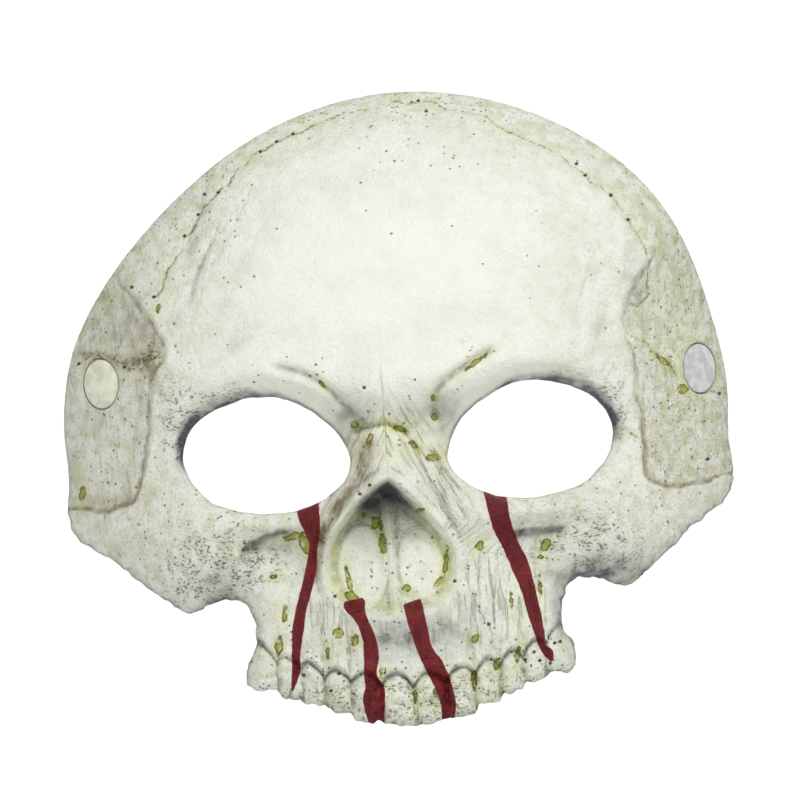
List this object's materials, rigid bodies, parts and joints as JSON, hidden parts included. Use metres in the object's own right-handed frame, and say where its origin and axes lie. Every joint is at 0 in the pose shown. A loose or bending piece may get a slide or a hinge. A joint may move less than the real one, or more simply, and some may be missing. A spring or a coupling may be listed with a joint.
{
  "type": "half face mask",
  "caption": "Moulded latex half mask shaped as a skull without its lower jaw, with riveted elastic head strap.",
  "frame": {"origin": "where the inner face of the shell rests on the bridge of the wearer's nose, midway between the two eye holes", "axes": "+Z to the crown, +Y back into the wearer's head so the face looks along -Y, +X to the wearer's left"},
  "size_m": [0.2024, 0.1384, 0.191],
  "materials": {
    "latex": "painted bone, soft satin",
    "cap_plastic": "satin, partly painted over",
    "washer_plastic": "smooth moulded",
    "gauze": "woven gauze",
    "elastic": "ribbed woven elastic"
  },
  "bodies": {
    "root": {"latex_shell": "latex", "rivet_cap_right": "cap_plastic", "rivet_cap_left": "cap_plastic", "rivet_washer_right": "washer_plastic", "rivet_washer_left": "washer_plastic", "backing_patch_right": "gauze", "backing_patch_left": "gauze", "strap_end_right": "elastic", "strap_end_left": "elastic"},
    "strap": {"elastic_strap": "elastic"}
  },
  "joints": [
    {"name": "strap_swing", "type": "hinge", "parent": "root", "child": "strap", "pos_m": [0.0021, 0.061, 0.0214], "axis": [0.9993, 0, -0.0375], "range_deg": [-50, 55]}
  ]
}
